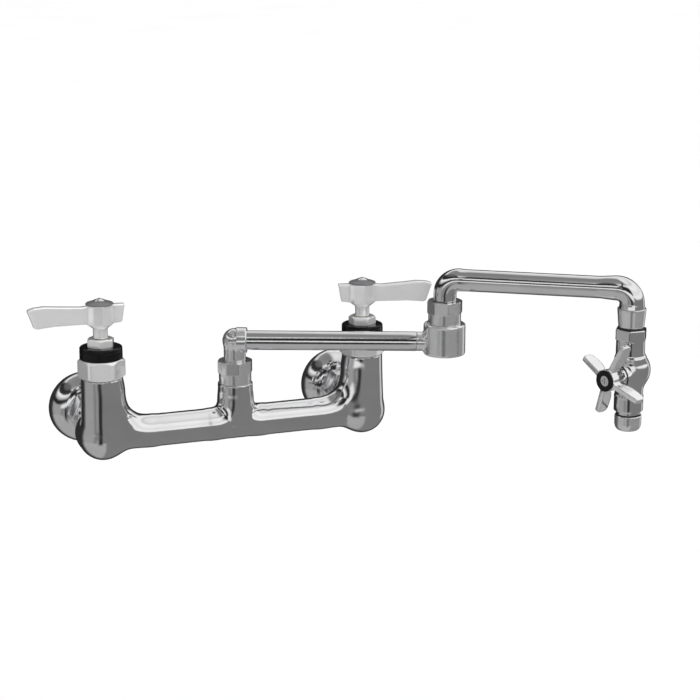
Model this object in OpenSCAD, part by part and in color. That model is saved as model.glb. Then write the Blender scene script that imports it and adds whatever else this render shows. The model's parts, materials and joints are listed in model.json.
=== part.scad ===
// Wall-mounted two-valve faucet with a double-jointed swing spout and a
// cross-handle control valve at the outlet.
// Millimetres. +Z up, +X along the wall to the right, +Y into the wall.
// The origin is on the wall plane, midway between the two inlets.

/* [Layout] */
// Distance between the two inlets and between the two valve axes
centres = 203.2; // [200:0.2:206]
// Wall plane to the valve axes
wall_to_valve = 67; // [66:0.5:70]
// Height of the cross bar's axis below the inlets
bar_drop = 4.5; // [4:0.1:5]

/* [Body casting] */
// Radius of the cross bar
bar_r = 12.2; // [12:0.05:12.4]
// Radius of each valve tower at the top
tower_r = 15.35; // [15.2:0.05:15.5]
// Height of the tower's top face
tower_top = 39.9; // [39.4:0.1:40]
// Radius of the fillet between bar and tower
tower_fillet = 21; // [18:0.5:23]
// Radius of the centre boss under the spout
boss_r = 13.1; // [12.9:0.05:13.2]
// Height of the centre boss's top face
boss_top = 26.5; // [26:0.1:27]

/* [Wall flanges] */
// Radius of the domed wall flange
flange_r = 27.2; // [26:0.1:29]
// How far the dome stands out from the wall
flange_h = 17.5; // [17:0.1:17.8]
// Radius of the pipe thread at the wall (half inch pipe)
inlet_r = 9.5; // [9:0.1:10]

/* [Valve tops] */
// Across flats of the bonnet's hexagon
bonnet_af = 30.9; // [30.4:0.05:31.6]
// Radius of the black collar
collar_r = 15.7; // [15:0.1:15.8]
// Across flats of the packing nut
gland_af = 18.4; // [17.8:0.1:18.9]
// Radius of the lever's neck
neck_r = 5.45; // [5.2:0.05:5.8]
// Across corners of the lever's eight-sided hub
hub_ac = 20; // [19:0.1:20.4]
// Thickness of the lever blade
blade_t = 5.2; // [4.4:0.1:6]
// Left lever's rest angle, about +Z from +X
left_lever_angle = 180; // [174:1:184]
// Right lever's rest angle, about +Z from +X
right_lever_angle = -16; // [-20:1:0]

/* [Spout] */
// Pivot to pivot length of the lower arm
arm1_len = 156.4; // [150:0.2:162]
// Height of the lower arm's axis
arm1_z = 59; // [58.8:0.1:59.2]
// Rest angle of the lower arm, about +Z from +X
arm1_angle = -21.6; // [-23:0.1:-20]
// Radius of the lower arm's tube
arm1_r = 7.25; // [7:0.05:7.4]
// Radius of the elbow knuckle's barrel
knuckle_r = 15.6; // [15:0.1:16]
// Pivot to outlet length of the upper arm
arm2_len = 137.7; // [130:0.2:145]
// Height of the upper arm's axis
arm2_z = 106.4; // [106:0.1:107]
// Rest angle of the upper arm, about +Z from +X
arm2_angle = -33.2; // [-36:0.1:-30]
// Radius of the upper arm's tube
arm2_r = 8.15; // [8:0.05:8.2]
// Radius of the swivel tails; their bores are swivel_fit larger
tail_r = 8.25; // [8.2:0.01:8.25]
// Radial clearance of the swivels and stems
swivel_fit = 0.05; // [0.03:0.01:0.08]

/* [Control valve] */
// Direction of the cross handle's stem, from the upper arm's direction
stem_turn = -126; // [-126:1:-125]
// Height of the cross handle's axis
stem_z = 42; // [41.8:0.1:42.2]
// Reach of each arm of the cross handle
cross_reach = 29; // [26:0.5:29.5]
// Thickness of each arm of the cross handle
cross_t = 4; // [3.4:0.1:4.6]
// Turn of the cross handle's arms about their axis
cross_turn = -23; // [-45:1:0]
// Radius of the outlet nozzle
nozzle_r = 9.85; // [9.4:0.05:10]

/* [Hidden] */
$fn = 64;
S = centres / 2;
L = wall_to_valve;
zb = -bar_drop;
e = 0.01;

// ---------- placing ----------
module at_valve(side) { translate([side * S, -L, 0]) children(); }
module at_inlet(side) { translate([side * S, 0, 0]) rotate([90, 0, 0]) children(); }
module at_arm1() { translate([0, -L, 0]) rotate([0, 0, arm1_angle]) children(); }
module at_knuckle() { at_arm1() translate([arm1_len, 0, 0]) rotate([0, 0, arm2_angle - arm1_angle]) children(); }
module at_outlet() { at_knuckle() translate([arm2_len, 0, 0]) children(); }
module at_stem() { at_outlet() rotate([0, 0, stem_turn]) translate([0, 0, stem_z]) rotate([0, 90, 0]) children(); }
module tube(ro, ri, h) { difference() { cylinder(h = h, r = ro); translate([0, 0, -1]) cylinder(h = h + 2, r = ri); } }
// a bend in the XZ plane: starts at the origin going +X, ends going +Z
module bend(rc, r) {
  translate([0, 0, rc]) rotate([90, 0, 0])
    rotate([0, 0, -90]) rotate_extrude(angle = 90) translate([rc, 0]) circle(r = r);
}
// a nut's prism with its corners turned off at one or both ends
module nut_prism(ac, sides, h, cut_lo, cut_hi) {
  intersection() {
    cylinder(h = h, r = ac, $fn = sides);
    rotate_extrude() polygon([[0, 0], [ac - cut_lo, 0], [ac + 0.02, cut_lo * 0.6],
      [ac + 0.02, h - cut_hi * 0.6], [ac - cut_hi, h], [0, h]]);
  }
}

// ---------- body casting ----------
tower_axis_in = tower_r - (bar_r - 0.15) - 0.15;
boss_axis_in = boss_r - (bar_r - 0.15) - 0.12;
module tower() {
  translate([0, 0, -6]) cylinder(h = tower_top + 6, r1 = tower_r + 0.6, r2 = tower_r);
  translate([0, 0, -5.5]) sphere(r = tower_r + 1.55);
}
module branch() {
  // from the tower back to the coupling, along +Y: a thick round-ended leg
  translate([0, 0, -5.2]) rotate([-90, 0, 0]) cylinder(h = 13, r = 18.35);
  translate([0, 13, -5.2]) sphere(r = 18.5);
  translate([0, L - 48, 0]) rotate([-90, 0, 0]) cylinder(h = 15, r = 13.2);
  translate([0, L - 34, 0]) rotate([-90, 0, 0]) cylinder(h = 6.8, r = 12);
}
module faucet_body() color([0.82, 0.82, 0.84]) {
  difference() {
    union() {
      for (s = [-1, 1]) {
        at_valve(s) { tower(); branch(); }
        translate([0, -L, 0]) mirror([s < 0 ? 1 : 0, 0, 0])
          translate([S - tower_axis_in - (bar_r - 0.15) - tower_fillet, 0, zb])
            bend(bar_r - 0.15 + tower_fillet, bar_r - 0.15);
        translate([0, -L, 0]) mirror([s > 0 ? 1 : 0, 0, 0])
          translate([-boss_axis_in - (bar_r - 0.15) - 6, 0, zb])
            bend(bar_r - 0.15 + 6, bar_r - 0.15);
      }
      translate([-S, -L, zb]) rotate([0, 90, 0]) cylinder(h = 2 * S, r = bar_r);
      translate([0, -L, zb]) cylinder(h = boss_top - zb, r = boss_r);
      translate([0, -L, boss_top - 1]) cylinder(h = 10.5, r = 10.9);
    }
    for (s = [-1, 1]) {
      at_valve(s) {
        translate([0, 0, 8]) cylinder(h = tower_top, r = 11.5);
        translate([0, 0, 28.5]) cylinder(h = tower_top, r = 12.2);
        translate([0, 0, -10]) cylinder(h = 30, r = 4.4);
        translate([0, 0, -10]) cylinder(h = 12, r = 7);
        translate([0, 0, 0]) rotate([-90, 0, 0]) cylinder(h = L, r = 6.2);
      }
      translate([0, -L, 0]) mirror([s < 0 ? 1 : 0, 0, 0])
        translate([S - tower_axis_in - (bar_r - 0.15) - tower_fillet, 0, zb])
          bend(bar_r - 0.15 + tower_fillet, 5);
    }
    translate([-(S - 38), -L, zb]) rotate([0, 90, 0]) cylinder(h = 2 * (S - 38), r = 6.4);
    translate([0, -L, zb]) cylinder(h = boss_top + 40, r = tail_r + swivel_fit);
  }
}

// ---------- wall connections ----------
module flange() color([0.85, 0.85, 0.87]) {
  difference() {
    union() {
      rotate_extrude() polygon(concat([[0, 0], [flange_r - 0.4, 0], [flange_r, 0.5]],
        [for (t = [0:7.5:90]) [13.6 + (flange_r - 13.6) * cos(t), 1.6 + (flange_h - 1.6) * sin(t)]],
        [[0, flange_h]]));
      translate([0, 0, flange_h - 1]) cylinder(h = 7.5 + 1 - (flange_h - 17.5), r = 8.9);
      translate([0, 0, 22.1]) cylinder(h = 2.9, r = 11.2);
    }
    translate([0, 0, -1]) cylinder(h = 15, r = inlet_r);
    translate([0, 0, 5]) cylinder(h = 30, r = 6.2);
    difference() {
      translate([0, 0, -1]) cylinder(h = 5, r = flange_r - 2.4);
      translate([0, 0, -2]) cylinder(h = 7, r = 13.2);
    }
  }
}
module coupling_nut() color([0.8, 0.8, 0.82]) {
  difference() {
    translate([0, 0, 18]) nut_prism(16.6, 6, 14.8, 1.6, 1.6);
    translate([0, 0, 10]) cylinder(h = 30, r = 9.1);
    translate([0, 0, 21.9]) cylinder(h = 20, r = 12.1);
  }
}
module inlet_washer() color([0.12, 0.12, 0.12]) translate([0, 0, 25]) tube(11, 6.4, 2.2);

// ---------- valve tops ----------
module bonnet(turn) color([0.8, 0.8, 0.82]) {
  difference() {
    union() {
      translate([0, 0, 40.2]) rotate([0, 0, turn]) nut_prism(bonnet_af / sqrt(3), 6, 14.2, 2.2, 2.4);
      translate([0, 0, 28.7]) cylinder(h = 12.5, r = 12.1);
      translate([0, 0, 54]) cylinder(h = 9.2, r = 8.4);
    }
    translate([0, 0, 20]) cylinder(h = 50, r = 5 + swivel_fit);
    translate([0, 0, 20]) cylinder(h = 30, r = 5.4);
    translate([0, 0, 57]) cylinder(h = 20, r = 6.9);
  }
}
module collar() color([0.03, 0.03, 0.03]) {
  rotate_extrude() polygon([[8.5, 54.4], [collar_r - 0.3, 54.4], [collar_r, 54.9], [collar_r, 60.6],
    [collar_r - 0.35, 60.9], [collar_r - 0.35, 61.5], [collar_r, 61.8], [collar_r - 0.1, 62.5],
    [collar_r - 0.5, 63.1], [collar_r - 1.4, 63.5], [8.5, 63.5]]);
}
module packing_nut(turn) color([0.86, 0.86, 0.88]) {
  difference() {
    union() {
      translate([0, 0, 63.55]) rotate([0, 0, turn]) nut_prism(gland_af / sqrt(3), 6, 5.9, 0.5, 1.9);
      translate([0, 0, 60.2]) cylinder(h = 4, r = 6.8);
    }
    translate([0, 0, 50]) cylinder(h = 30, r = 5.3);
  }
}
module packing() color([0.9, 0.9, 0.88]) translate([0, 0, 57.05]) tube(6.8, 5 + swivel_fit, 3.1);
module cartridge() color([0.75, 0.6, 0.3]) {
  difference() {
    translate([0, 0, 10.8]) cylinder(h = 17.8, r = 11.3);
    translate([0, 0, 10]) cylinder(h = 14.2, r = 9.8);
    translate([0, 0, 20]) cylinder(h = 20, r = 5.3);
    // side windows let the water out into the tower
    for (a = [0, 180]) rotate([0, 0, a]) translate([0, -3.5, 15.6]) cube([20, 7, 5]);
  }
}
module fixed_disc() color([0.92, 0.92, 0.9]) {
  difference() {
    translate([0, 0, 10.85]) cylinder(h = 3.7, r = 9.7);
    translate([0, 0, 5]) cylinder(h = 20, r = 1.2);
    for (a = [0, 180]) rotate([0, 0, a]) translate([5, 0, 5]) cylinder(h = 20, r = 2.4);
  }
}
module seat_seal() color([0.08, 0.08, 0.08]) translate([0, 0, 8.05]) tube(8.6, 4.6, 2.7);
module moving_disc() color([0.9, 0.9, 0.88]) {
  difference() {
    translate([0, 0, 14.7]) cylinder(h = 3.6, r = 9.3);
    for (a = [0, 180]) rotate([0, 0, a + 90]) translate([5, 0, 5]) cylinder(h = 20, r = 2.4);
  }
}
module stem() color([0.75, 0.62, 0.35]) {
  difference() {
    union() {
      translate([0, 0, 18.35]) cylinder(h = 5.4, r = 9);
      translate([0, 0, 20]) cylinder(h = 49.6, r = 5);
      translate([0, 0, 60]) cylinder(h = 23.8, r = 3.5);
    }
    translate([0, 0, 73]) cylinder(h = 20, r = 2.05);
  }
}
// blade outline along the lever and up; the tail is on the far side of the hub
module lever() color([0.85, 0.85, 0.87]) {
  difference() {
    union() {
      intersection() {
        translate([0, 0, 77.2]) rotate([0, 0, 4]) cylinder(h = 17.6, r = hub_ac / 2, $fn = 8);
        rotate_extrude() polygon([[0, 70], [neck_r + 0.4, 77.3], [hub_ac / 2 + 0.2, 80.6], [hub_ac / 2 + 0.2, 94.4],
          [hub_ac / 2 - 0.4, 94.8], [0, 94.8]]);
      }
      translate([0, 0, 69.8]) cylinder(h = 12, r = neck_r);
      rotate([90, 0, 0]) translate([0, 0, -blade_t / 2]) linear_extrude(height = blade_t)
        polygon([[-18.4, 94.2], [-18, 92], [-16.2, 81.4], [-15.4, 80.7], [-7, 80], [7, 79.6], [10.6, 80.9],
          [34, 81.1], [46.6, 80.1], [48.6, 81], [53, 93.4], [52.2, 94.6], [48.6, 95.7],
          [41, 96.2], [31, 95.2], [14, 93.8], [7, 94.4], [-7, 94.4]]);
    }
    translate([0, 0, 60]) cylinder(h = 24, r = 3.55);
    translate([0, 0, 60]) cylinder(h = 50, r = 2.3);
  }
}
module cap() color([0.6, 0.6, 0.62]) {
  rotate_extrude() polygon([[2.2, 94.85], [10.1, 94.85], [10.25, 95.3], [9.8, 95.8], [7.2, 96.7], [4.4, 97.25], [2.2, 97.3]]);
}
module cap_screw() color([0.9, 0.9, 0.9]) {
  rotate_extrude() polygon([[0, 74], [2, 74], [2, 97.35], [4.3, 97.35], [4.3, 97.8], [1.2, 99.2], [0, 99.3]]);
}

// ---------- spout, first swivel ----------
// an octagonal nut with a round skirt, its underside at z = 0
module swivel_nut(turn) {
  difference() {
    union() {
      translate([0, 0, 8]) rotate([0, 0, turn]) nut_prism(13.4, 8, 9.1, 0.5, 0.7);
      cylinder(h = 9, r = 12.2);
    }
    translate([0, 0, -1]) cylinder(h = 13.3, r = 11);
    translate([0, 0, 5]) cylinder(h = 30, r = tail_r + 0.4);
  }
}
module spout_nut() color([0.72, 0.72, 0.74]) translate([0, -L, boss_top + 0.05]) swivel_nut(22.4 - 70.1);
// a swivel tail: z = 0 is the top of the threaded spigot that it stands in
module tail(h_up, h_dn) {
  translate([0, 0, -h_dn]) cylinder(h = h_dn + h_up, r = tail_r);
  translate([0, 0, 0.2]) cylinder(h = 2.3, r = 10.4);
}
module ring_cuts(z1, z2) { for (z = [z1, z2]) translate([0, 0, z - 1.2]) tube(12, 6.7, 2.4); }
module ring_pair(z1, z2) { for (z = [z1, z2]) translate([0, 0, z]) rotate_extrude() translate([7.47, 0]) circle(r = 0.74, $fn = 24); }
spigot1 = boss_top + 9.5;
module spout_elbow() color([0.74, 0.74, 0.76]) at_arm1() {
  difference() {
    union() {
      translate([0, 0, spigot1]) tail(arm1_z - spigot1, spigot1 - 5);
      translate([0, 0, arm1_z]) sphere(r = 9);
      translate([1.4, 0, arm1_z]) rotate([0, 90, 0]) rotate_extrude()
        polygon([[0, 0], [9.6, 0], [9.6, 7], [9.2, 7.7], [8.4, 7.9], [0, 7.9]]);
    }
    translate([0, 0, 0]) cylinder(h = arm1_z, r = 5.4);
    translate([0, 0, arm1_z]) sphere(r = 6.2);
    translate([0, 0, arm1_z]) rotate([0, 90, 0]) cylinder(h = 20, r = 5.4);
    translate([5, 0, arm1_z]) rotate([0, 90, 0]) cylinder(h = 20, r = arm1_r + 0.02);
    ring_cuts(12, 20);
  }
}
module elbow_rings() color([0.08, 0.08, 0.08]) at_arm1() ring_pair(12, 20);
seam = arm1_len - 20.8;
module lower_arm() color([0.78, 0.78, 0.8]) at_arm1()
  translate([5.05, 0, arm1_z]) rotate([0, 90, 0]) tube(arm1_r, arm1_r - 1.3, seam - 5.05);
// knuckle: barrel with a stub for the lower arm and a threaded spigot on top
kn_lo = 49.7;
kn_hi = 73.2;
spigot2 = kn_hi + 9.5;
module knuckle() color([0.72, 0.72, 0.74]) at_arm1() {
  difference() {
    union() {
      translate([arm1_len, 0, kn_lo]) rotate_extrude() polygon([[0, 0], [knuckle_r - 0.9, 0], [knuckle_r, 0.9],
        [knuckle_r, kn_hi - kn_lo - 2], [knuckle_r - 0.7, kn_hi - kn_lo - 0.6], [knuckle_r - 2.2, kn_hi - kn_lo], [0, kn_hi - kn_lo]]);
      translate([arm1_len, 0, kn_hi - 1]) cylinder(h = 10.5, r = 10.9);
      translate([seam + 0.05, 0, arm1_z]) rotate([0, 90, 0]) cylinder(h = 12, r = arm1_r - 0.1);
      translate([seam - 6, 0, arm1_z]) rotate([0, 90, 0]) cylinder(h = 8, r = arm1_r - 1.35);
    }
    translate([seam - 8, 0, arm1_z]) rotate([0, 90, 0]) cylinder(h = 30, r = 4.6);
    translate([arm1_len, 0, kn_lo + 4]) cylinder(h = 60, r = tail_r + swivel_fit);
  }
}
module knuckle_nut() color([0.72, 0.72, 0.74]) at_arm1() translate([arm1_len, 0, kn_hi + 0.05]) swivel_nut(12);

// ---------- spout, second swivel ----------
b1 = 10.8;
b2 = 11;
module upper_arm() color([0.8, 0.8, 0.82]) at_knuckle() {
  difference() {
    union() {
      translate([0, 0, spigot2]) tail(8.5, spigot2 - kn_lo - 6);
      translate([0, 0, spigot2 + 7.9]) cylinder(h = arm2_z - b1 - spigot2 - 7.9 + 0.2, r1 = 8.64, r2 = 8.6);
      translate([b1, 0, arm2_z]) rotate([0, 180, 0]) bend(b1, 8.55);
      translate([b1 - 0.3, 0, arm2_z]) rotate([0, 90, 0]) cylinder(h = arm2_len - b1 - b2 + 0.6, r = arm2_r);
      translate([arm2_len - b2, 0, arm2_z]) rotate([180, 0, 0]) bend(b2, 9.1);
      translate([b1 - 0.2, 0, arm2_z]) rotate([0, 90, 0]) cylinder(h = 7, r1 = 8.5, r2 = arm2_r - 0.1);
      translate([arm2_len - b2 - 13.8, 0, arm2_z]) rotate([0, 90, 0]) cylinder(h = 14, r1 = arm2_r - 0.1, r2 = 9.05);
      translate([arm2_len, 0, 92.3]) cylinder(h = arm2_z - b2 - 92.3 + 0.2, r1 = 9.45, r2 = 9.14);
      translate([arm2_len, 0, 79]) cylinder(h = 14, r = 8.6);
    }
    translate([0, 0, 50]) cylinder(h = arm2_z - b1 - 50 + e, r = 5.6);
    translate([b1, 0, arm2_z]) rotate([0, 180, 0]) bend(b1, 5.6);
    translate([b1 - e, 0, arm2_z]) rotate([0, 90, 0]) cylinder(h = arm2_len - b1 - b2 + 2 * e, r = 5.6);
    translate([arm2_len - b2, 0, arm2_z]) rotate([180, 0, 0]) bend(b2, 5.6);
    translate([arm2_len, 0, 70]) cylinder(h = arm2_z - b2 - 70 + e, r = 5.6);
    ring_cuts(62, 70);
  }
}
module upper_arm_rings() color([0.08, 0.08, 0.08]) at_knuckle() ring_pair(62, 70);

// ---------- outlet ----------
module outlet_sleeve() color([0.74, 0.74, 0.76]) at_outlet() {
  rotate_extrude() polygon([[8.62, 92.2], [10.2, 92.2], [10.5, 91.8], [10.45, 90.8], [9.45, 78.9], [9.1, 78.4],
    [8, 78.4], [8, 70.5], [6.4, 70.5], [6.4, 78.9], [8.62, 78.9]]);
}
module outlet_gasket() color([0.03, 0.03, 0.03]) at_outlet() translate([0, 0, 77.05]) tube(9.2, 8.05, 1.3);
module control_body() color([0.82, 0.82, 0.84]) at_outlet() {
  difference() {
    union() {
      translate([0, 0, 68.9]) rotate([0, 0, 29]) nut_prism(12.3, 6, 8.1, 1.6, 1.6);
      // the trunk, turned in one piece
      rotate_extrude() polygon([[0, 27], [10.2, 27], [10.9, 55], [10.2, 66], [10.2, 70], [0, 70]]);
      rotate([0, 0, stem_turn]) translate([-3, 0, 46]) sphere(r = 13.2);
      rotate([0, 0, stem_turn]) translate([-3, 0, 43.2]) sphere(r = 12.5);
      translate([0, 0, 15.2]) cylinder(h = 12, r = 10.7);
      translate([0, 0, 12.4]) cylinder(h = 2.9, r1 = 8.6, r2 = 10.7);
      translate([0, 0, 5.6]) cylinder(h = 8, r = 7.9);
      rotate([0, 0, stem_turn]) translate([0, 0, stem_z]) rotate([0, 90, 0]) cylinder(h = 11.5, r = 9.2);
    }
    translate([0, 0, 70.2]) cylinder(h = 20, r = 8.1);
    rotate([0, 0, stem_turn]) {
      translate([2, 0, 42]) cylinder(h = 30, r = 4.6);
      translate([-3, 0, stem_z]) rotate([0, 90, 0]) cylinder(h = 30, r = 7.2);
      translate([-9, 0, stem_z]) rotate([0, 90, 0]) cylinder(h = 20, r = 4);
      translate([-7.6, 0, 16.5]) cylinder(h = stem_z - 16.5, r = 2.2);
    }
    difference() {
      translate([0, 0, 15]) cylinder(h = 6, r = 6);
    }
    rotate([0, 0, stem_turn]) translate([-9.8, -2.2, 16.5]) cube([6, 4.4, 4]);
    translate([0, 0, 0]) cylinder(h = 16, r = 6.2);
  }
}
module control_gasket() color([0.03, 0.03, 0.03]) at_stem() translate([0, 0, 11.55]) tube(9.3, 7.15, 0.9);
module control_bonnet() color([0.76, 0.76, 0.78]) at_stem() {
  difference() {
    union() {
      translate([0, 0, 12.5]) rotate_extrude() polygon([[0, 0], [9, 0], [9, 2], [8.4, 2.7], [0, 2.7]]);
      translate([0, 0, 6]) cylinder(h = 7, r = 7.1);
    }
    translate([0, 0, 0]) cylinder(h = 30, r = 3.5 + swivel_fit);
    translate([0, 0, 0]) cylinder(h = 9, r = 6);
    translate([0, 0, 11.8]) cylinder(h = 10, r = 5.3);
  }
}
module control_packing_nut() color([0.76, 0.76, 0.78]) at_stem() {
  difference() {
    union() {
      translate([0, 0, 15.25]) nut_prism(6.9, 6, 3.2, 0.3, 0.7);
      translate([0, 0, 12]) cylinder(h = 4, r = 5.25);
    }
    translate([0, 0, 0]) cylinder(h = 30, r = 3.85);
  }
}
module nozzle_gasket() color([0.03, 0.03, 0.03]) at_outlet() translate([0, 0, 11.85]) tube(9.3, 7.95, 0.5);
module nozzle() color([0.74, 0.74, 0.76]) at_outlet() {
  rotate_extrude() polygon(concat([[6.4, 1.4], [6.4, 4.9], [8, 4.9], [8, 11.8], [nozzle_r - 0.4, 11.8], [nozzle_r, 11.3]],
    [for (t = [0:10:90]) [nozzle_r - 3.4 + 3.4 * cos(t), 6 - 5.6 * sin(t)]], [[6.4, 0.4]]));
}
module flow_straightener() color([0.7, 0.7, 0.7]) at_outlet() {
  difference() {
    translate([0, 0, 2]) cylinder(h = 3.4, r = 6.35);
    for (a = [0:60:300]) rotate([0, 0, a]) translate([4, 0, 0]) cylinder(h = 10, r = 1.3);
    cylinder(h = 10, r = 1.5);
  }
}
module control_washer() color([0.05, 0.05, 0.05]) at_stem() translate([0, 0, -2.95]) cylinder(h = 2.7, r = 5.2);
module control_stem() color([0.75, 0.62, 0.35]) at_stem() {
  difference() {
    union() {
      translate([0, 0, -0.15]) cylinder(h = 4.4, r = 5.5);
      cylinder(h = 19.6, r = 3.5);
      cylinder(h = 24.8, r = 2.9);
    }
    translate([0, 0, 14]) cylinder(h = 20, r = 1.65);
  }
}
module cross_handle() color([0.85, 0.85, 0.87]) at_stem() {
  difference() {
    union() {
      translate([0, 0, 19.7]) rotate_extrude() polygon([[0, 0], [6.4, 0], [7.6, 1.2], [8.2, 4], [8.2, 6], [7.9, 6.5], [0, 6.5]]);
      for (a = [0:90:270]) rotate([0, 0, a + cross_turn]) rotate([90, 0, 0]) translate([0, 0, -cross_t / 2])
        linear_extrude(height = cross_t) polygon([[0, 20], [7.2, 19.9], [11.5, 15.6], [16, 13.6], [22, 12.8],
          [cross_reach - 3, 12.9], [cross_reach - 0.8, 14.2], [cross_reach, 16.4], [cross_reach - 0.1, 20.5],
          [cross_reach - 1, 22.2], [cross_reach - 6, 23.2], [14, 24.7], [7, 26], [0, 26]]);
    }
    cylinder(h = 25, r = 2.95);
    cylinder(h = 40, r = 1.75);
  }
}
module index_ring() color([0.03, 0.03, 0.03]) at_stem() translate([0, 0, 26.25]) tube(7.7, 3.95, 1.2);
module cross_screw() color([0.7, 0.7, 0.7]) at_stem() {
  difference() {
    union() {
      translate([0, 0, 26.25]) cylinder(h = 0.9, r = 3.85);
      translate([0, 0, 15]) cylinder(h = 12, r = 1.6);
    }
    for (a = [0, 90]) rotate([0, 0, a]) translate([-2.2, -0.35, 26.7]) cube([4.4, 0.7, 1]);
  }
}

// ---------- the two sides ----------
module side_of(s) { at_valve(s) children(); }
bonnet_turn = -14;
lt = left_lever_angle;
rt = right_lever_angle;

faucet_body();
at_inlet(-1) flange();  // left_flange
at_inlet(1) flange();  // right_flange
at_inlet(-1) coupling_nut();  // left_coupling_nut
at_inlet(1) coupling_nut();  // right_coupling_nut
at_inlet(-1) inlet_washer();  // left_inlet_washer
at_inlet(1) inlet_washer();  // right_inlet_washer
at_valve(-1) bonnet(bonnet_turn);  // left_bonnet
at_valve(1) bonnet(bonnet_turn);  // right_bonnet
at_valve(-1) collar();  // left_collar
at_valve(1) collar();  // right_collar
at_valve(-1) packing_nut(11);  // left_packing_nut
at_valve(1) packing_nut(34);  // right_packing_nut
at_valve(-1) packing();  // left_packing
at_valve(1) packing();  // right_packing
at_valve(-1) cartridge();  // left_cartridge
at_valve(1) cartridge();  // right_cartridge
at_valve(-1) fixed_disc();  // left_fixed_disc
at_valve(1) fixed_disc();  // right_fixed_disc
at_valve(-1) seat_seal();  // left_seat_seal
at_valve(1) seat_seal();  // right_seat_seal
at_valve(-1) rotate([0, 0, lt]) stem();  // left_stem
at_valve(1) rotate([0, 0, rt]) stem();  // right_stem
at_valve(-1) moving_disc();  // left_moving_disc
at_valve(1) moving_disc();  // right_moving_disc
at_valve(-1) rotate([0, 0, lt]) lever();  // left_lever
at_valve(1) rotate([0, 0, rt]) lever();  // right_lever
at_valve(-1) cap();  // left_cap
at_valve(1) cap();  // right_cap
at_valve(-1) cap_screw();  // left_cap_screw
at_valve(1) cap_screw();  // right_cap_screw
spout_nut();
spout_elbow();
elbow_rings();
lower_arm();
knuckle();
knuckle_nut();
upper_arm();
upper_arm_rings();
outlet_sleeve();
outlet_gasket();
control_body();
control_gasket();
control_bonnet();
control_packing_nut();
nozzle_gasket();
nozzle();
flow_straightener();
control_washer();
control_stem();
cross_handle();
index_ring();
cross_screw();
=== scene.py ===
import json
import math
import bpy
import numpy as np
from mathutils import Matrix, Vector


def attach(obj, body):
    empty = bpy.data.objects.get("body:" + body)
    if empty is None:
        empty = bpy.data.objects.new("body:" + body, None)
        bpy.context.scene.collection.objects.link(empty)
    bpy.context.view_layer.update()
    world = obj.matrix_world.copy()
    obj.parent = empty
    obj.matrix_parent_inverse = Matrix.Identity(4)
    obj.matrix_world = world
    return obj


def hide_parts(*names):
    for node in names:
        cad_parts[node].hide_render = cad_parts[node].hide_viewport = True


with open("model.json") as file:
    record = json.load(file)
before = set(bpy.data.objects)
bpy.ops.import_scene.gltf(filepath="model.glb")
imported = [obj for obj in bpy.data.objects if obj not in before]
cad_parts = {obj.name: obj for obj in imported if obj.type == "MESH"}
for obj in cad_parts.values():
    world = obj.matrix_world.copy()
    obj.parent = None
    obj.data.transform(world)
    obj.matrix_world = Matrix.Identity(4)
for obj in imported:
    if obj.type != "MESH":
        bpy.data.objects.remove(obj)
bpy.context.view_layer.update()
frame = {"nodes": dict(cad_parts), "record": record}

MM = 0.001
BODY_OF = {n: b for b, ns in frame["record"]["behaviour"]["bodies"].items() for n in ns}
SLOT_OF = {s["node"]: s["material_slot"] for s in frame["record"]["subparts"]}

# ---------------------------------------------------------------- the design's numbers, mm
S, L, ZB, BAR = 101.6, 67.0, -4.5, 12.2
TOWER_R, TOWER_TOP, FIL = 15.35, 39.9, 21.0
BOSS_R, BOSS_TOP = 13.1, 26.5
A1_LEN, A1_Z, A1, A1_R = 156.4, 59.0, math.radians(-21.6), 7.25
A2_LEN, A2_Z, A2, A2_R = 137.7, 106.4, math.radians(-33.2), 8.15
KN_R, KN_LO, KN_HI = 15.6, 49.7, 73.2
STEM, STEM_Z = math.radians(-126), 42.0
SEAM = A1_LEN - 20.8


def T(x, y, z):
    return Matrix.Translation((x, y, z))


def RZ(a):
    return Matrix.Rotation(a, 4, "Z")


def RX(a):
    return Matrix.Rotation(a, 4, "X")


def RY(a):
    return Matrix.Rotation(a, 4, "Y")


AT_ARM1 = T(0, -L, 0) @ RZ(A1)
AT_KNUCKLE = AT_ARM1 @ T(A1_LEN, 0, 0) @ RZ(A2 - A1)
AT_OUTLET = AT_KNUCKLE @ T(A2_LEN, 0, 0)
AT_STEM = AT_OUTLET @ RZ(STEM) @ T(0, 0, STEM_Z) @ RY(math.radians(90))


def at_valve(s):
    return T(s * S, -L, 0)


def at_inlet(s):
    return T(s * S, 0, 0) @ RX(math.radians(90))


# ---------------------------------------------------------------- materials
def new_mat(name):
    m = bpy.data.materials.new(name)
    m.use_nodes = True
    nt = m.node_tree
    nt.nodes.clear()
    out = nt.nodes.new("ShaderNodeOutputMaterial")
    p = nt.nodes.new("ShaderNodeBsdfPrincipled")
    nt.links.new(p.outputs[0], out.inputs[0])
    tc = nt.nodes.new("ShaderNodeTexCoord")
    return m, nt, p, tc


def noise(nt, tc, scale, detail=3, stretch=(1, 1, 1), rot=(0, 0, 0)):
    mp = nt.nodes.new("ShaderNodeMapping")
    mp.inputs["Scale"].default_value = stretch
    mp.inputs["Rotation"].default_value = rot
    nt.links.new(tc.outputs["Object"], mp.inputs["Vector"])
    n = nt.nodes.new("ShaderNodeTexNoise")
    n.inputs["Scale"].default_value = scale
    n.inputs["Detail"].default_value = detail
    nt.links.new(mp.outputs[0], n.inputs["Vector"])
    return n.outputs["Fac"]


def spread(nt, fac, lo, hi, a=0.3, b=0.7):
    r = nt.nodes.new("ShaderNodeMapRange")
    r.inputs["From Min"].default_value = a
    r.inputs["From Max"].default_value = b
    r.inputs["To Min"].default_value = lo
    r.inputs["To Max"].default_value = hi
    nt.links.new(fac, r.inputs["Value"])
    return r.outputs[0]


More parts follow.
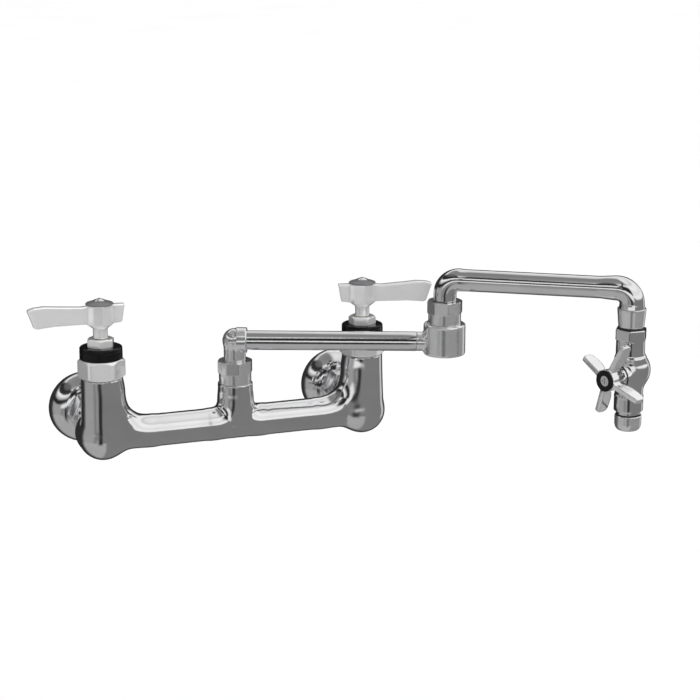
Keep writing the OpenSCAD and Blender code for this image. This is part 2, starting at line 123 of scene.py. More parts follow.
def tint(nt, fac, c0, c1):
    r = nt.nodes.new("ShaderNodeValToRGB")
    r.color_ramp.elements[0].position = 0.3
    r.color_ramp.elements[1].position = 0.7
    r.color_ramp.elements[0].color = (*c0, 1)
    r.color_ramp.elements[1].color = (*c1, 1)
    nt.links.new(fac, r.inputs[0])
    return r.outputs[0]


def bump(nt, p, layers):
    prev = None
    for fac, strength, dist in layers:
        b = nt.nodes.new("ShaderNodeBump")
        b.inputs["Strength"].default_value = strength
        b.inputs["Distance"].default_value = dist
        nt.links.new(fac, b.inputs["Height"])
        if prev:
            nt.links.new(prev, b.inputs["Normal"])
        prev = b.outputs[0]
    nt.links.new(prev, p.inputs["Normal"])


def metal(name, c0, c1, r0, r1, wave=0.0, brush=0.0, stretch=(1, 1, 1), rot=(0, 0, 0), brush_scale=40, metallic=1.0):
    m, nt, p, tc = new_mat(name)
    p.inputs["Metallic"].default_value = metallic
    big = noise(nt, tc, 55, 2)
    fine = noise(nt, tc, brush_scale, 4, stretch, rot)
    nt.links.new(tint(nt, big, c0, c1), p.inputs["Base Color"])
    nt.links.new(spread(nt, fine, r0, r1), p.inputs["Roughness"])
    layers = []
    if wave:
        layers.append((noise(nt, tc, 60, 2), wave, 0.0006))
    if brush:
        layers.append((fine, brush, 0.00008))
    if layers:
        bump(nt, p, layers)
    return m


def plain(name, c0, c1, r0, r1, scale=300, strength=0.1, dist=0.0001, metallic=0.0, coat=0.0):
    m, nt, p, tc = new_mat(name)
    p.inputs["Metallic"].default_value = metallic
    p.inputs["Coat Weight"].default_value = coat
    f = noise(nt, tc, scale, 4)
    g = noise(nt, tc, scale * 0.12, 2)
    nt.links.new(tint(nt, g, c0, c1), p.inputs["Base Color"])
    nt.links.new(spread(nt, f, r0, r1), p.inputs["Roughness"])
    bump(nt, p, [(f, strength, dist)])
    return m


CAST = metal("cast_chrome", (0.80, 0.80, 0.81), (0.86, 0.86, 0.87), 0.05, 0.13, wave=0.25)
CAST_SOFT = metal("cast_chrome_soft", (0.74, 0.74, 0.75), (0.80, 0.80, 0.81), 0.16, 0.27, wave=0.15)
POLISHED = metal("turned_polished", (0.80, 0.80, 0.81), (0.85, 0.85, 0.86), 0.03, 0.09, brush=0.15, stretch=(1, 1, 30))
SATIN = metal("turned_satin", (0.76, 0.76, 0.77), (0.82, 0.82, 0.83), 0.12, 0.16, brush=0.03, stretch=(1, 1, 20), brush_scale=160,
              metallic=0.88)
TUBE = metal("drawn_tube", (0.78, 0.78, 0.79), (0.83, 0.83, 0.84), 0.06, 0.13, brush=0.15,
             stretch=(1, 40, 40), rot=(0, 0, -A1))
TUBE2 = metal("drawn_tube_upper", (0.80, 0.80, 0.81), (0.85, 0.85, 0.86), 0.03, 0.09, wave=0.12, brush=0.12,
              stretch=(1, 40, 40), rot=(0, 0, -A2))
FACE = metal("lever_chrome", (0.84, 0.84, 0.84), (0.90, 0.90, 0.90), 0.09, 0.15, wave=0.10, metallic=0.59)
CROSS = metal("cross_handle_chrome", (0.80, 0.80, 0.80), (0.86, 0.86, 0.86), 0.06, 0.12, wave=0.15, metallic=0.85)
BONNET = metal("bonnet_chrome", (0.80, 0.80, 0.80), (0.86, 0.86, 0.86), 0.06, 0.12, wave=0.05, metallic=0.63)
CAPGREY = plain("cap_grey", (0.09, 0.09, 0.095), (0.14, 0.14, 0.145), 0.32, 0.48, coat=0.2)
BLACK = plain("black_plastic", (0.002, 0.002, 0.002), (0.006, 0.006, 0.006), 0.10, 0.22, scale=220, strength=0.05)
BLACK.node_tree.nodes["Principled BSDF"].inputs["Specular IOR Level"].default_value = 0.2
RUBBER = plain("black_rubber", (0.012, 0.012, 0.012), (0.03, 0.03, 0.03), 0.55, 0.75, scale=500, strength=0.3)
PACK = plain("white_packing", (0.75, 0.75, 0.72), (0.85, 0.85, 0.82), 0.4, 0.6, scale=400)
BRASS = metal("machined_brass", (0.68, 0.50, 0.24), (0.76, 0.58, 0.30), 0.18, 0.30, brush=0.4, stretch=(1, 1, 40))
CERAMIC = plain("lapped_ceramic", (0.82, 0.82, 0.80), (0.90, 0.90, 0.88), 0.12, 0.2, scale=500, strength=0.03)
SLOT_MAT = {"cast_chrome": CAST, "turned_chrome": SATIN, "cap_grey": CAPGREY, "black_plastic": BLACK,
            "rubber": RUBBER, "packing": PACK, "brass": BRASS, "ceramic": CERAMIC}
for n, o in frame["nodes"].items():
    o.data.materials.clear()
    o.data.materials.append(SLOT_MAT[SLOT_OF[n]])
for n in ("left_cap_screw", "right_cap_screw", "cross_screw", "control_bonnet"):
    frame["nodes"][n].data.materials[0] = POLISHED


# ---------------------------------------------------------------- mesh tools
def piece(node, verts, faces, mat, m=Matrix.Identity(4), sharp=32):
    """verts in mm in the frame m; the new piece stands for the CAD node."""
    v = np.asarray(verts, float)
    M = np.array(m)
    v = (v @ M[:3, :3].T + M[:3, 3]) * MM
    me = bpy.data.meshes.new(node + "_skin")
    me.from_pydata(v.tolist(), [], [list(map(int, f)) for f in faces])
    me.validate()
    me.update()
    me.materials.append(mat)
    for poly in me.polygons:
        poly.use_smooth = True
    if sharp:
        me.set_sharp_from_angle(angle=math.radians(sharp))
    o = bpy.data.objects.new(node + "_skin", me)
    bpy.context.scene.collection.objects.link(o)
    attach(o, BODY_OF[node])
    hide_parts(node)
    return o


def rounded(pts, radii, step=0.5):
    """A closed outline (r, z) with its corners rounded."""
    n, out = len(pts), []
    for i in range(n):
        p0, p, p1 = (np.array(pts[(i + k) % n], float) for k in (-1, 0, 1))
        r = radii[i] if isinstance(radii, (list, tuple)) else radii
        a, b = p0 - p, p1 - p
        la, lb = np.linalg.norm(a), np.linalg.norm(b)
        if r <= 0 or la < 1e-6 or lb < 1e-6:
            out.append(p)
            continue
        a, b = a / la, b / lb
        ang = math.acos(max(-1, min(1, float(a @ b))))
        if ang > math.pi - 0.05:
            out.append(p)
            continue
        d = min(r / math.tan(ang / 2), 0.45 * la, 0.45 * lb)
        for t in np.linspace(0, 1, 6):
            out.append((1 - t) ** 2 * (p + a * d) + 2 * t * (1 - t) * p + t * t * (p + b * d))
    res = []
    for i in range(len(out)):
        p, q = out[i], out[(i + 1) % len(out)]
        k = max(1, int(math.ceil(np.linalg.norm(q - p) / step)))
        res += [p + (q - p) * j / k for j in range(k)]
    return np.array(res)


def smin(a, b, k):
    h = np.clip(0.5 + 0.5 * (b - a) / k, 0, 1)
    return b * (1 - h) + a * h - k * h * (1 - h)


def smax(a, b, k):
    return -smin(-a, -b, k)


def lathe(loop, n=96, sides=0, apothem=0.0, turn=0.0, soft=0.5, keep_below=0.0):
    """Turns a closed outline round z; with sides, its radius is cut to a prism's flats."""
    th = np.arange(n) * 2 * math.pi / n
    r, z = loop[:, 0], loop[:, 1]
    R = np.repeat(r[None, :], n, 0)
    if sides:
        w = 2 * math.pi / sides
        a = (th - turn + w / 2) % w - w / 2
        # the vertex of the prism is at turn, so the flats' middles are half a side away
        a = (th - turn) % w - w / 2
        flat = apothem / np.cos(a)
        cut = smin(R, np.repeat(flat[:, None], len(r), 1), soft)
        R = np.where(R > keep_below, cut, R)
    X, Y = R * np.cos(th)[:, None], R * np.sin(th)[:, None]
    Z = np.repeat(z[None, :], n, 0)
    V = np.stack([X, Y, Z], -1).reshape(-1, 3)
    m = len(r)
    F = []
    for i in range(n):
        j = (i + 1) % n
        for k in range(m):
            l = (k + 1) % m
            F.append((i * m + k, j * m + k, j * m + l, i * m + l))
    # outward faces: outlines run anticlockwise in (r, z)
    return V, F


def ccw(pts):
    p = np.array(pts, float)
    a = np.sum(p[:, 0] * np.roll(p[:, 1], -1) - np.roll(p[:, 0], -1) * p[:, 1])
    return p if a > 0 else p[::-1]


def turned(node, pts, mat, m, radii=0.3, n=96, **kw):
    loop = rounded([tuple(q) for q in ccw(pts)], radii, kw.pop("step", 0.5))
    V, F = lathe(loop, n, **kw)
    return piece(node, V, F, mat, m)


def nets(f, lo, hi, h):
    """Surface nets of f = 0, pulled on to the true surface; f is negative inside."""
    lo, hi = np.array(lo, float), np.array(hi, float)
    n = np.ceil((hi - lo) / h).astype(int) + 1
    ax = [lo[i] + h * np.arange(n[i]) for i in range(3)]
    F = np.empty(tuple(n))
    for i in range(n[0]):
        Y, Z = np.meshgrid(ax[1], ax[2], indexing="ij")
        F[i] = f(np.full_like(Y, ax[0][i]), Y, Z)
    inside = F < 0
    cells = tuple(n - 1)
    acc, cnt = np.zeros(cells + (3,)), np.zeros(cells)
    edges = []
    for a in range(3):
        s0, s1 = [slice(None)] * 3, [slice(None)] * 3
        s0[a], s1[a] = slice(0, -1), slice(1, None)
        idx = np.argwhere(inside[tuple(s0)] != inside[tuple(s1)])
        f0 = F[tuple(idx.T)]
        nx = idx.copy()
        nx[:, a] += 1
        f1 = F[tuple(nx.T)]
        p = idx.astype(float)
        p[:, a] += f0 / (f0 - f1)
        b, c = (a + 1) % 3, (a + 2) % 3
        for db in (0, -1):
            for dc in (0, -1):
                q = idx.copy()
                q[:, b] += db
                q[:, c] += dc
                ok = np.all((q >= 0) & (q < np.array(cells)), 1)
                np.add.at(acc, tuple(q[ok].T), p[ok])
                np.add.at(cnt, tuple(q[ok].T), 1)
        edges.append((a, b, c, idx, f0 < 0))
    live = cnt > 0
    num = np.full(cells, -1)
    num[live] = np.arange(live.sum())
    V = lo + h * acc[live] / cnt[live][:, None]
    Q = []
    for a, b, c, idx, neg in edges:
        def cell(db, dc):
            q = idx.copy()
            q[:, b] += db
            q[:, c] += dc
            return num[tuple(q.T)]
        ok = (idx[:, b] > 0) & (idx[:, c] > 0) & (idx[:, b] < cells[b]) & (idx[:, c] < cells[c])
        idx, neg = idx[ok], neg[ok]
        quad = np.stack([cell(-1, -1), cell(0, -1), cell(0, 0), cell(-1, 0)], 1)
        quad[~neg] = quad[~neg][:, ::-1]
        Q.append(quad)
    for _ in range(4):
        d = f(V[:, 0], V[:, 1], V[:, 2])
        e = 0.05
        g = np.stack([f(V[:, 0] + e * (k == 0), V[:, 1] + e * (k == 1), V[:, 2] + e * (k == 2)) -
                      f(V[:, 0] - e * (k == 0), V[:, 1] - e * (k == 1), V[:, 2] - e * (k == 2)) for k in range(3)], 1) / (2 * e)
        g2 = np.maximum((g ** 2).sum(1), 0.25)
        step = -(d / g2)[:, None] * g
        size = np.linalg.norm(step, axis=1)
        V = V + step * np.minimum(1, 0.4 * h / np.maximum(size, 1e-9))[:, None]
    return V, np.concatenate(Q)


def poly2(px, py, pts):
    """Signed distance to a closed polygon in the plane."""
    p = np.array(pts, float)
    d = np.full(px.shape, 1e9)
    s = np.ones(px.shape)
    for i in range(len(p)):
        a, b = p[i], p[i - 1]
        ex, ey = b - a
        wx, wy = px - a[0], py - a[1]
        t = np.clip((wx * ex + wy * ey) / (ex * ex + ey * ey), 0, 1)
        d = np.minimum(d, (wx - ex * t) ** 2 + (wy - ey * t) ** 2)
        c1, c2, c3 = py >= a[1], py < b[1], ex * wy > ey * wx
        flip = (c1 & c2 & c3) | (~c1 & ~c2 & ~c3)
        s = np.where(flip, -s, s)
    return s * np.sqrt(d)


def slab(d2, w, half, r):
    """A plane figure given thickness, with its edges rounded by r."""
    a, b = d2 + r, np.abs(w) - (half - r)
    return np.minimum(np.maximum(a, b), 0) + np.hypot(np.maximum(a, 0), np.maximum(b, 0)) - r


def rod(x, y, z, a, b, r0, r1):
    """A round-ended bar from a to b whose radius goes from r0 to r1."""
    a, b = np.array(a, float), np.array(b, float)
    d = b - a
    t = np.clip(((x - a[0]) * d[0] + (y - a[1]) * d[1] + (z - a[2]) * d[2]) / (d @ d), 0, 1)
    return np.sqrt((x - a[0] - t * d[0]) ** 2 + (y - a[1] - t * d[1]) ** 2 + (z - a[2] - t * d[2]) ** 2) - (r0 + (r1 - r0) * t)


def can(rho, t, t0, t1, r, k=0.4):
    """A round bar between t0 and t1 along its own axis."""
    return smax(rho - r, np.maximum(t0 - t, t - t1), k)


# ---------------------------------------------------------------- body casting
def torus_quarter(x, y, z, cx, sx, R, r):
    """The bend between the bar and an upright, whose circle's centre is at (cx, ZB + R)."""
    u, v = (x - cx) * sx, (ZB + R) - z
    inside = np.hypot(np.hypot(u, v) - R, y + L)
    e0 = np.sqrt((u - R) ** 2 + v ** 2 + (y + L) ** 2)
    e1 = np.sqrt(u ** 2 + (v - R) ** 2 + (y + L) ** 2)
    return np.where((u >= 0) & (v >= 0), inside, np.minimum(e0, e1)) - r


def body_shape(x, y, z):
    r = BAR - 0.15
    ax = np.abs(x)
    d = np.sqrt((y + L) ** 2 + (z - ZB) ** 2 + np.maximum(ax - S, 0) ** 2) - BAR
    # towers
    rho = np.hypot(ax - S, y + L)
    flare = (1 - np.clip((z + 5.5) / (TOWER_TOP + 5.5), 0, 1)) ** 1.5
    tower = np.maximum(rho - (TOWER_R + 1.35 * flare), -5.5 - z)
    ball = np.sqrt(rho ** 2 + (z + 5.5) ** 2) - (TOWER_R + 1.35)
    t_in = TOWER_R - r - 0.15
    cx = S - t_in - r - FIL
    bend = torus_quarter(ax, y, z, cx, 1, r + FIL, r)
    # the thick round-ended leg towards the wall
    br = np.sqrt((ax - S) ** 2 + (y + L - np.clip(y + L, 3, 13)) ** 2 + (z + 5.2) ** 2) - 18.3
    d = smin(d, bend, 2.0)
    tower = smin(np.minimum(tower, ball), br, 2.0)
    d = smin(d, tower, 6.0)
    # rings at the back, where the coupling nuts hold on
    rb = np.hypot(ax - S, z)
    d = smin(d, can(rb, y, -48, -33, 13.2, 0.8), 2.0)
    d = smin(d, can(rb, y, -34, -27.2, 12, 0.5), 0.4)
    # centre boss
    boss = np.hypot(x, y + L) - BOSS_R
    boss = np.maximum(boss, ZB - z)
    b_in = BOSS_R - r - 0.12
    bb = torus_quarter(ax, y, z, b_in + r + 6, -1, r + 6, r)
    d = smin(d, bb, 2.0)
    d = smin(d, boss, 3.0)
    mid = ax < 50
    d = np.where(mid, smax(d, z - BOSS_TOP, 0.7), smax(d, z - TOWER_TOP, 0.7))
    d = np.minimum(d, can(np.hypot(x, y + L), z, BOSS_TOP - 1, BOSS_TOP + 9.5, 10.9))
    # waterways
    rv = np.hypot(ax - S, y + L)
    for r0, z0 in ((11.5, 8), (12.2, 28.5)):
        d = np.maximum(d, -can(rv, z, z0, 80, r0, 0.2))
    d = np.maximum(d, -can(rb, y, -L, 0, 6.2, 0.2))
    d = np.maximum(d, -can(np.hypot(x, y + L), z, ZB, 80, 8.3, 0.2))
    return d


V, Q = nets(body_shape, (-122.4, -86.4, -26.4), (122.4, -25.2, 42), 0.8)
piece("faucet_body", V, Q, CAST, sharp=50)

# ---------------------------------------------------------------- wall flanges and coupling nuts
DOME = [(13.6 + 13.6 * math.cos(math.radians(t)), 1.6 + 15.9 * math.sin(math.radians(t))) for t in range(0, 91, 5)]
for s, w in ((-1, "left"), (1, "right")):
    pts = [(9.5, 0), (13.2, 0), (13.2, 4), (24.8, 4), (24.8, 0), (26.8, 0), (27.2, 0.5)] + DOME + \
          [(8.9, 17.5), (8.9, 22.1), (11.2, 22.1), (11.2, 25), (6.2, 25), (6.2, 14), (9.5, 14)]
    turned(w + "_flange", pts, CAST, at_inlet(s), radii=0.25, n=144)
    pts = [(9.1, 18), (16.6, 18), (16.6, 32.8), (12.1, 32.8), (12.1, 21.9), (9.1, 21.9)]
    rad = [0.2, 1.5, 1.5, 0.3, 0.2, 0.2]
    turned(w + "_coupling_nut", [(9.1, 18), (15.0, 18), (16.62, 19), (16.62, 31.8), (15, 32.8), (12.1, 32.8), (12.1, 21.9), (9.1, 21.9)],
           SATIN, at_inlet(s), radii=0.3, n=144, sides=6, apothem=16.6 * math.cos(math.pi / 6), turn=0.0, keep_below=12.5)

# ---------------------------------------------------------------- valve tops
HEX = 30.9 / math.sqrt(3)
for s, w in ((-1, "left"), (1, "right")):
    V0 = at_valve(s)
    turned(w + "_bonnet",
           [(5.06, 50), (5.4, 50), (5.4, 28.7), (12.1, 28.7), (12.1, 40.2), (HEX - 2.5, 40.2), (HEX - 0.4, 41.6),
            (HEX - 0.4, 52.4), (HEX - 2.7, 54.4), (8.4, 54.4), (8.4, 63.2), (6.9, 63.2), (6.9, 57), (5.06, 57)],
           BONNET, V0, radii=0.3, n=180, sides=6, apothem=30.9 / 2, turn=math.radians(-14), keep_below=12.6, step=0.4)
    c = 15.7
    turned(w + "_collar",
           [(8.5, 54.4), (c - 0.3, 54.4), (c, 54.9), (c, 60.6), (c - 0.35, 60.9), (c - 0.35, 61.5), (c, 61.8),
            (c - 0.1, 62.5), (c - 0.5, 63.1), (c - 1.4, 63.5), (8.5, 63.5)], BLACK, V0, radii=0.18, n=128)
    gh = 18.4 / math.sqrt(3)
    turned(w + "_packing_nut",
           [(5.3, 60.2), (6.8, 60.2), (6.8, 63.55), (gh - 0.5, 63.55), (gh + 0.02, 63.85), (gh + 0.02, 68.3),
            (gh - 1.9, 69.45), (5.3, 69.45)],
           BONNET, V0, radii=0.2, n=144, sides=6, apothem=9.2, turn=math.radians(11 if s < 0 else 34), keep_below=6.9, step=0.35)
    turned(w + "_cap", [(2.2, 94.85), (10.1, 94.85), (10.25, 95.3), (9.8, 95.8), (7.2, 96.7), (4.4, 97.25), (2.2, 97.3)],
           CAPGREY, V0, radii=0.2, n=96, step=0.4)

LEVER = [(-18.4, 94.2), (-18, 92), (-16.2, 81.4), (-15.4, 80.7), (-7, 80), (7, 79.6), (10.6, 80.9),
         (34, 81.1), (46.6, 80.1), (48.6, 81), (53, 93.4), (52.2, 94.6), (48.6, 95.7),
         (41, 96.2), (31, 95.2), (14, 93.8), (7, 94.4), (-7, 94.4)]


def lever_shape(x, y, z):
    blade = slab(poly2(x, z, LEVER), y, 2.6, 0.9)
    a = np.arctan2(y, x) - math.radians(4)
    w = math.pi / 4
    a = (a % w) - w / 2
    rho = np.hypot(x, y)
    octo = rho * np.cos(a) - 10.0 * math.cos(w / 2)
    foot = (rho - (5.45 + 0.4) - (z - 77.3) * 1.32) * 0.6
    hub = smax(smax(octo, foot, 0.4), np.maximum(77.3 - z, z - 94.8), 0.5)
    neck = can(rho, z, 69.8, 82, 5.45, 0.3)
    d = smin(smin(blade, hub, 0.9), neck, 0.8)
    d = np.maximum(d, z - 94.8 - np.where(rho > 10.1, 9, 0))
    return np.maximum(d, -can(rho, z, 60, 120, 2.3, 0.1))


V, Q = nets(lever_shape, (-20.5, -11, 68.5), (55, 11, 98), 0.55)
for s, w, ang in ((-1, "left", 180.0), (1, "right", -16.0)):
    piece(w + "_lever", V, Q, FACE, at_valve(s) @ RZ(math.radians(ang)), sharp=38)


# ---------------------------------------------------------------- swivel nuts
def swivel_nut(node, m, turn):
    turned(node, [(8.65, 12.3), (11, 12.3), (11, 0), (12.2, 0), (12.2, 8), (12.9, 8), (13.42, 8.4), (13.42, 16.6), (12.7, 17.1), (8.65, 17.1)],
           SATIN, m, radii=0.25, n=160, sides=8, apothem=13.4 * math.cos(math.pi / 8), turn=math.radians(turn), keep_below=12.25, step=0.4, soft=0.25)


swivel_nut("spout_nut", T(0, -L, BOSS_TOP + 0.05), 22.4 - 70.1)
swivel_nut("knuckle_nut", AT_ARM1 @ T(A1_LEN, 0, KN_HI + 0.05), 12)


# ---------------------------------------------------------------- spout
def elbow_shape(x, y, z):
    rho, rx = np.hypot(x, y), np.hypot(y, z - A1_Z)
    d = can(rho, z, 5, A1_Z, 8.25, 0.3)
    d = smin(d, np.sqrt(x * x + y * y + (z - A1_Z) ** 2) - 9.0, 1.6)
    d = smin(d, can(rx, x, 1.4, 9.3, 9.6, 0.9), 1.4)
    d = np.minimum(d, can(rho, z, 36.2, 38.5, 10.4, 0.3))
    d = np.maximum(d, -can(rx, x, 5, 40, 7.27, 0.1))
    return np.maximum(d, -can(rho, z, 0, A1_Z, 5.4, 0.1))


V, Q = nets(elbow_shape, (-12, -12, 3), (12, 12, 71), 0.6)
piece("spout_elbow", V, Q, SATIN, AT_ARM1, sharp=45)
ARMX = AT_ARM1 @ T(5.05, 0, A1_Z) @ RY(math.radians(90))
ln = SEAM - 5.05
turned("lower_arm", [(5.95, 0), (7.25, 0), (7.25, ln), (5.95, ln)], TUBE, ARMX, radii=0.12, n=96, step=6)


def knuckle_shape(x, y, z):
    rho = np.hypot(x - A1_LEN, y)
    barrel = smax(rho - KN_R, np.maximum(KN_LO - z, z - KN_HI), 1.8)
    d = smin(barrel, can(np.hypot(y, z - A1_Z), x, SEAM + 0.05, A1_LEN - 8, 7.15, 0.15), 1.4)
    d = np.minimum(d, can(rho, z, KN_HI - 1, KN_HI + 9.5, 10.9, 0.3))
    d = np.minimum(d, can(np.hypot(y, z - A1_Z), x, SEAM - 6, SEAM + 2, 5.9, 0.15))
    return np.maximum(d, -can(rho, z, KN_LO + 4, 120, 8.3, 0.1))


V, Q = nets(knuckle_shape, (SEAM - 8, -17.5, 48), (A1_LEN + 17.5, 17.5, 84), 0.7)
piece("knuckle", V, Q, SATIN, AT_ARM1, sharp=45)

# the upper arm: one bent tube whose radius changes along it
B1, B2 = 10.8, 11.0
path = [((0, 56), 8.25), ((0, 82), 8.25), ((0, 90.4), 8.25), ((0, 90.7), 8.62)]
path += [((0, z), 8.6) for z in np.linspace(91.5, A2_Z - B1, 8)[:-1]]
path += [((B1 - B1 * math.cos(t), A2_Z - B1 + B1 * math.sin(t)), 8.55) for t in np.linspace(0, math.pi / 2, 22)]
for q in np.linspace(B1, A2_LEN - B2, 80)[1:-1]:
    r = A2_R
    if q < B1 + 7:
        r = A2_R + (8.5 - A2_R) * (1 - (q - B1) / 7) ** 1.5
    if q > A2_LEN - B2 - 14:
        k = (q - (A2_LEN - B2 - 14)) / 14
        r = A2_R + (9.05 - A2_R) * k * k * (3 - 2 * k)
    path.append(((q, A2_Z), r))
path += [((A2_LEN - B2 + B2 * math.sin(t), A2_Z - B2 + B2 * math.cos(t)), 9.08) for t in np.linspace(0, math.pi / 2, 22)]
path += [((A2_LEN, z), 9.14 + (9.45 - 9.14) * (95.4 - z) / 3.1) for z in np.linspace(95.2, 92.3, 5)]
path += [((A2_LEN, 92.2), 8.6), ((A2_LEN, 79), 8.6)]
c = np.array([[p[0], 0, p[1]] for p, _ in path])
rr = np.array([r for _, r in path])
tan = np.gradient(c, axis=0)
tan /= np.linalg.norm(tan, axis=1)[:, None]
N = 72
th = np.arange(N) * 2 * math.pi / N
side = np.cross(tan, np.array([0, 1.0, 0]))
V = [c[i] + rr[i] * (math.cos(t) * side[i] + math.sin(t) * np.array([0, 1, 0])) for i in range(len(c)) for t in th]
F = [(i * N + k, i * N + (k + 1) % N, (i + 1) * N + (k + 1) % N, (i + 1) * N + k) for i in range(len(c) - 1) for k in range(N)]
F += [tuple(range(N))[::-1], tuple((len(c) - 1) * N + k for k in range(N))]
arm = piece("upper_arm", V, F, TUBE2, AT_KNUCKLE, sharp=40)

# ---------------------------------------------------------------- outlet
turned("outlet_sleeve", [(8.62, 92.2), (10.2, 92.2), (10.5, 91.8), (10.45, 90.8), (9.45, 78.9), (9.1, 78.4),
                         (8, 78.4), (8, 70.5), (6.4, 70.5), (6.4, 78.9), (8.62, 78.9)], SATIN, AT_OUTLET, radii=0.15, n=128)


def globe_shape(x, y, z):
    c, s = math.cos(STEM), math.sin(STEM)
    u, v = x * c + y * s, -x * s + y * c
    rho = np.hypot(x, y)
    w = math.pi / 3
    a = (np.arctan2(y, x) - math.radians(29)) % w - w / 2
    hexa = smax(rho * np.cos(a) - 12.3 * math.cos(w / 2), rho - 11.9, 0.3)
    hexa = smax(hexa, np.maximum(68.9 - z, z - 77), 0.7)
    d = smin(can(rho, z, 55, 70, 10.9 - 0.7 * 0.5, 0.5), np.sqrt((u + 3) ** 2 + v ** 2 + (z - 46) ** 2) - 13.2, 4.0)
    d = smin(d, np.sqrt((u + 3) ** 2 + v ** 2 + (z - 43.2) ** 2) - 12.4, 1.5)
    d = smin(d, can(rho, z, 26, 55.2, 10.4, 0.8), 3.0)
    d = smin(d, can(rho, z, 15.2, 27.2, 10.7, 0.8), 0.9)
    d = smin(d, can(rho, z, 12.4, 15.6, 8.9, 0.8), 0.8)
    d = np.minimum(d, can(rho, z, 5.6, 13.6, 7.9, 0.2))
    d = smin(d, can(np.hypot(v, z - STEM_Z), u, 0, 11.5, 9.2, 0.7), 2.0)
    d = smin(d, hexa, 0.6)
    d = np.maximum(d, -can(rho, z, 70.2, 90, 8.1, 0.1))
    d = np.maximum(d, -can(np.hypot(v, z - STEM_Z), u, -3, 40, 7.2, 0.1))
    return np.maximum(d, -can(rho, z, 0, 16, 6.2, 0.1))


V, Q = nets(globe_shape, (-19, -19, 4), (19, 19, 79), 0.55)
piece("control_body", V, Q, CAST, AT_OUTLET, sharp=42)

ARM = [(0, 20), (7.2, 19.9), (11.5, 15.6), (16, 13.6), (22, 12.8), (26, 12.9), (28.2, 14.2), (29, 16.4),
       (28.9, 20.5), (28, 22.2), (23, 23.2), (14, 24.7), (7, 26), (0, 26)]


def cross_shape(x, y, z):
    rho = np.hypot(x, y)
    hub = smax(rho - 8.1, np.maximum(19.7 - z, z - 26.2), 0.8)
    d = hub
    for k in range(4):
        a = math.radians(-23 + 90 * k)
        u, v = x * math.cos(a) + y * math.sin(a), -x * math.sin(a) + y * math.cos(a)
        d = smin(d, slab(poly2(u, z, ARM), v, 2.0, 0.8), 2.2)
    d = np.maximum(d, z - 26.2)
    return np.maximum(d, -can(rho, z, 0, 25, 2.95, 0.1))


V, Q = nets(cross_shape, (-31, -31, 11.5), (31, 31, 27.5), 0.55)
piece("cross_handle", V, Q, CROSS, AT_STEM, sharp=38)
NOZ = [(6.4, 1.4), (6.4, 4.9), (8, 4.9), (8, 11.8), (9.45, 11.8), (9.85, 11.3)] + \
      [(6.45 + 3.4 * math.cos(math.radians(t)), 6 - 5.6 * math.sin(math.radians(t))) for t in range(0, 91, 10)] + [(6.4, 0.4)]
turned("nozzle", NOZ, SATIN, AT_OUTLET, radii=0.12, n=128)

# ---------------------------------------------------------------- stage, light, camera
floor_mat, nt, p, tc = new_mat("pale_floor")
nt.links.new(tint(nt, noise(nt, tc, 3, 2), (0.86, 0.86, 0.86), (0.88, 0.88, 0.88)), p.inputs["Base Color"])
p.inputs["Roughness"].default_value = 0.9
N_ = 64
vs = [(0, 0, -0.42)] + [(14 * math.cos(2 * math.pi * i / N_), 14 * math.sin(2 * math.pi * i / N_), -0.42) for i in range(N_)]
fs = [(0, 1 + i, 1 + (i + 1) % N_) for i in range(N_)]
me = bpy.data.meshes.new("floor")
me.from_pydata(vs, [], fs)
me.materials.append(floor_mat)
floor = bpy.data.objects.new("floor", me)
bpy.context.scene.collection.objects.link(floor)
floor.visible_glossy = False


sun = bpy.data.lights.new("soft_daylight", "SUN")
sun.energy, sun.angle = 2.85, math.radians(70)
so = bpy.data.objects.new("soft_daylight", sun)
so.rotation_euler = Vector((0.25, 0.62, -0.75)).to_track_quat("-Z", "Y").to_euler()
so.visible_glossy = False
bpy.context.scene.collection.objects.link(so)

# The studio. Metal sees it by direction only; a ray straight from the camera sees white.
world = bpy.data.worlds.new("studio")
bpy.context.scene.world = world
world.use_nodes = True
wn = world.node_tree
wn.nodes.clear()


def W(kind, **kw):
    n = wn.nodes.new(kind)
    for k, v in kw.items():
        setattr(n, k, v)
    return n


def wmath(op, a, b=None, c=None):
    n = W("ShaderNodeMath", operation=op)
    for i, q in enumerate((a, b, c)):
        if q is None:
            continue
        if isinstance(q, (int, float)):
            n.inputs[i].default_value = q
        else:
            wn.links.new(q, n.inputs[i])
    return n.outputs[0]


def up(v, lo, hi):
    n = W("ShaderNodeMapRange", interpolation_type="SMOOTHSTEP")
    n.inputs["From Min"].default_value = lo
    n.inputs["From Max"].default_value = hi
    wn.links.new(v, n.inputs["Value"])
    return n.outputs[0]


def down(v, lo, hi):
    return wmath("SUBTRACT", 1.0, up(v, lo, hi))


def both(*f):
    r = f[0]
    for q in f[1:]:
        r = wmath("MULTIPLY", r, q)
    return r


def wmix(f, a, b):
    return wmath("ADD", wmath("MULTIPLY", f, b), wmath("MULTIPLY", wmath("SUBTRACT", 1.0, f), a))


def ramp(v, stops):
    n = W("ShaderNodeValToRGB")
    n.color_ramp.interpolation = "EASE"
    e = n.color_ramp.elements
    while len(e) < len(stops):
        e.new(0.5)
    for k, (q, g) in enumerate(stops):
        e[k].position = q
        e[k].color = (g, g, g, 1)
    wn.links.new(v, n.inputs[0])
    return n.outputs[0]


tcw = W("ShaderNodeTexCoord")
sep = W("ShaderNodeSeparateXYZ")
wn.links.new(tcw.outputs["Generated"], sep.inputs[0])
dx, dy, dz = sep.outputs[0], sep.outputs[1], sep.outputs[2]
nz = W("ShaderNodeTexNoise")
nz.inputs["Scale"].default_value = 2.6
nz.inputs["Detail"].default_value = 2
wn.links.new(tcw.outputs["Generated"], nz.inputs["Vector"])
zz = wmath("ADD", dz, wmath("MULTIPLY_ADD", nz.outputs["Fac"], 0.07, -0.035))

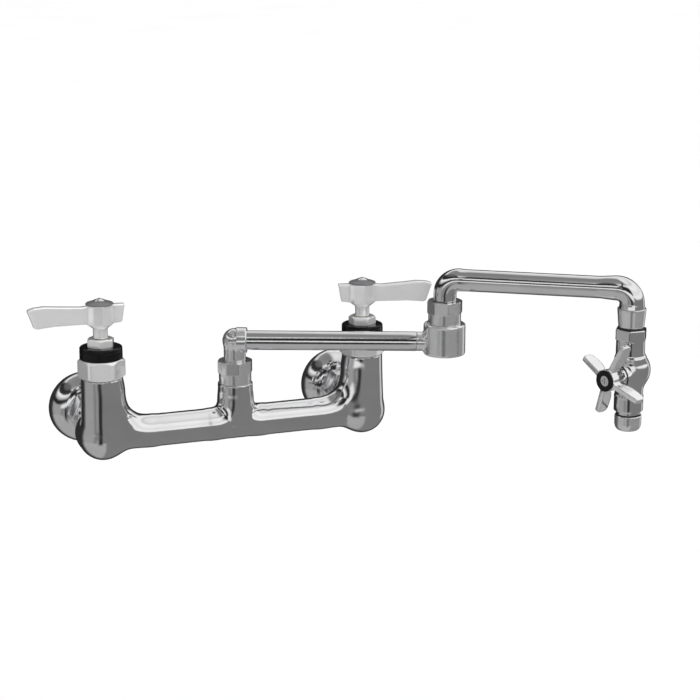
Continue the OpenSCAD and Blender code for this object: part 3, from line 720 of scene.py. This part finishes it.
# above: a white soft box to the right; to the left a grey ceiling, a white strip and a dark doorway
sky_r = ramp(zz, [(0.0, 0.92), (0.20, 1.0), (0.38, 0.86), (0.62, 1.0), (0.74, 0.97), (0.82, 0.70), (0.91, 0.86), (1.0, 0.92)])
sky_l = ramp(zz, [(0.0, 0.95), (0.12, 0.95), (0.19, 0.02), (0.50, 0.02), (0.59, 0.35), (0.70, 0.98), (0.79, 0.30), (1.0, 0.24)])
sky_f = ramp(zz, [(0.0, 0.10), (0.06, 0.02), (0.22, 0.02), (0.31, 0.45), (0.42, 0.95), (0.47, 0.95), (0.53, 0.03), (0.66, 0.03), (0.74, 0.13), (1.0, 0.20)])
sky = wmix(up(dx, -0.06, 0.16), wmix(down(dx, -0.52, -0.40), sky_l, sky_f), sky_r)
beam = wmath("ABSOLUTE", wmath("SUBTRACT", wmath("MULTIPLY_ADD", dx, -1.29, dz), 1.01))
sky = wmix(both(down(beam, 0.03, 0.06), down(dy, -0.5, -0.3)), sky, 0.015)

# below the horizon
low = wmix(up(dz, -0.9, -0.3), 0.22, 0.215)
front = down(dy, -0.6, -0.35)
low = wmix(both(down(dx, -0.93, -0.75), up(dz, -0.7, -0.4)), low, 0.36)
low = wmix(both(up(dx, -0.80, -0.66), down(dx, -0.50, -0.42), front, up(dz, -0.40, -0.30), down(dz, -0.22, -0.16)), low, 0.33)
low = wmix(both(up(dx, 0.78, 0.88), up(dy, 0.08, 0.16), down(dy, 0.40, 0.48), up(dz, -0.6, -0.4)), low, 0.62)
low = wmix(both(down(dx, -0.08, 0.10), down(dz, -0.40, -0.32)), low, 0.42)
low = wmix(both(down(dx, -0.10, 0.05), front, up(dz, -0.13, -0.06)), low, 0.90)
lane = wmath("ABSOLUTE", wmath("ADD", dx, 0.43))
low = wmix(both(down(lane, 0.05, 0.22), front, down(dz, -0.14, -0.07), up(dz, -0.62, -0.36)), low, 0.03)
base = wmix(up(zz, 0.03, 0.12), low, sky)
back = wmath("MULTIPLY", up(dy, 0.35, 0.72), down(dz, 0.45, 0.62))
base = wmix(back, base, 0.03)
comb = W("ShaderNodeCombineColor")
for k in range(3):
    wn.links.new(base, comb.inputs[k])
bg = W("ShaderNodeBackground")
wn.links.new(comb.outputs[0], bg.inputs[0])
bgw = W("ShaderNodeBackground")
bgw.inputs[0].default_value = (1, 1, 1, 1)
lp = W("ShaderNodeLightPath")
mx = W("ShaderNodeMixShader")
wn.links.new(lp.outputs["Is Camera Ray"], mx.inputs[0])
wn.links.new(bg.outputs[0], mx.inputs[1])
wn.links.new(bgw.outputs[0], mx.inputs[2])
ow = W("ShaderNodeOutputWorld")
wn.links.new(mx.outputs[0], ow.inputs[0])

cam = bpy.data.cameras.new("camera")
cam.sensor_width, cam.lens = 36.0, 101.046
cam.clip_end = 50
co = bpy.data.objects.new("camera", cam)
co.location = (-0.405629, -1.430861, 0.423895)
co.rotation_euler = (math.radians(90 - 14.7005), 0, math.radians(-20.0342))
bpy.context.scene.collection.objects.link(co)
bpy.context.scene.camera = co
bpy.context.scene.view_settings.view_transform = "Standard"
